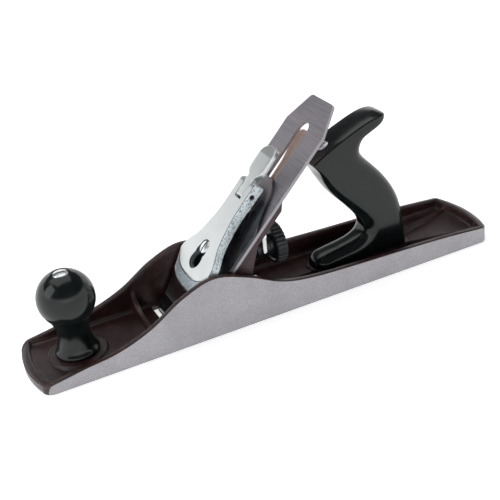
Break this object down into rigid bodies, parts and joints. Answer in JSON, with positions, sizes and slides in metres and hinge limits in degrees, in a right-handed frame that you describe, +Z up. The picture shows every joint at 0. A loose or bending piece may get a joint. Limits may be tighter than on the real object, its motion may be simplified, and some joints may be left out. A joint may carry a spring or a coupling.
{
  "type": "hand plane",
  "caption": "Bench plane: iron sole with raised cheeks, 45 degree iron under a lever cap, depth wheel, lateral lever, round front knob and rear tote.",
  "frame": {"origin": "centre of the sole's flat underside", "axes": "+X towards the heel, toe at -X; +Y towards the far cheek; +Z up"},
  "size_m": [0.355, 0.0636, 0.1332],
  "materials": {
    "painted_casting": "gloss dark maroon paint over iron, with bare ground metal on the sole and the cheeks",
    "ground_steel": "brushed grey steel with fine cross grain",
    "nickel": "satin nickel plate",
    "bright_steel": "bright turned steel",
    "black_plastic": "glossy black moulded plastic",
    "wheel_enamel": "black enamel on a ribbed rim and a grooved collar",
    "plated_lever": "warm plated steel"
  },
  "bodies": {
    "base": {"body": "painted_casting", "knob": "black_plastic", "knob_rod": "bright_steel", "knob_nut": "bright_steel", "tote": "black_plastic", "tote_rod": "bright_steel", "tote_nut": "bright_steel", "frog_screw_near": "bright_steel", "frog_screw_far": "bright_steel", "frog_screw_near_washer": "bright_steel", "frog_screw_far_washer": "bright_steel"},
    "frog": {"frog": "painted_casting", "frog_clip": "bright_steel", "frog_clip_screw": "bright_steel", "depth_stud": "bright_steel", "yoke_pin": "bright_steel", "lateral_rivet": "bright_steel", "lever_cap_screw": "bright_steel"},
    "adjust_screw": {"frog_adjust_screw": "bright_steel"},
    "sleeve": {"depth_sleeve": "wheel_enamel"},
    "wheel": {"depth_wheel": "wheel_enamel"},
    "yoke": {"yoke": "bright_steel"},
    "iron_carrier": {"cap_iron_screw": "bright_steel"},
    "iron": {"blade": "ground_steel", "cap_iron": "ground_steel"},
    "lateral_lever": {"lateral_lever": "plated_lever"},
    "roller": {"lateral_roller": "bright_steel"},
    "lever_cap": {"lever_cap": "nickel", "cap_spring": "bright_steel", "spring_rivet": "bright_steel", "cam_pin": "bright_steel"},
    "cam": {"cam_lever": "nickel"}
  },
  "joints": [
    {"name": "frog_slide", "type": "slide", "parent": "base", "child": "frog", "axis": [1, 0, 0], "range_m": [-0.002, 0.0006]},
    {"name": "adjust_screw_spin", "type": "hinge", "parent": "frog", "child": "adjust_screw", "pos_m": [-0.0125, 0, 0.0125], "axis": [1, 0, 0], "range_deg": [-570, 173]},
    {"name": "sleeve_slide", "type": "slide", "parent": "frog", "child": "sleeve", "axis": [1, 0, 0], "range_m": [-0.00305, 0.00305]},
    {"name": "wheel_spin", "type": "hinge", "parent": "sleeve", "child": "wheel", "pos_m": [0.0115, 0, 0.0385], "axis": [1, 0, 0], "range_deg": [-855, 855]},
    {"name": "yoke_pivot", "type": "hinge", "parent": "frog", "child": "yoke", "pos_m": [-0.0095, 0, 0.056], "axis": [0, 1, 0], "range_deg": [-10, 10]},
    {"name": "iron_depth", "type": "slide", "parent": "frog", "child": "iron_carrier", "axis": [0.7071, 0, 0.7071], "range_m": [-0.00126, 0.00126]},
    {"name": "iron_skew", "type": "hinge", "parent": "iron_carrier", "child": "iron", "pos_m": [-0.04309, 0, 0.03111], "axis": [-0.7071, 0, 0.7071], "range_deg": [-1.05, 1.05]},
    {"name": "lateral_pivot", "type": "hinge", "parent": "frog", "child": "lateral_lever", "pos_m": [0.00217, 0, 0.07637], "axis": [-0.7071, 0, 0.7071], "range_deg": [-5.4, 5.4]},
    {"name": "roller_spin", "type": "hinge", "parent": "lateral_lever", "child": "roller", "pos_m": [-0.0049, 0, 0.0693], "axis": [-0.7071, 0, 0.7071], "continuous": true},
    {"name": "lever_cap_slide", "type": "slide", "parent": "frog", "child": "lever_cap", "axis": [0.7071, 0, 0.7071], "range_m": [0, 0.0103]},
    {"name": "cam_lever_turn", "type": "hinge", "parent": "lever_cap", "child": "cam", "pos_m": [-0.00561, 0, 0.08273], "axis": [0, -1, 0], "range_deg": [0, 95]}
  ],
  "couplings": [
    {"joint": "adjust_screw_spin", "follows": "frog_slide", "rad_per_m": 4947.4},
    {"joint": "wheel_spin", "follows": "iron_depth", "rad_per_m": 11780},
    {"joint": "sleeve_slide", "follows": "iron_depth", "ratio": -2.381},
    {"joint": "yoke_pivot", "follows": "iron_depth", "rad_per_m": 136.05},
    {"joint": "iron_skew", "follows": "lateral_pivot", "ratio": -0.18518}
  ]
}
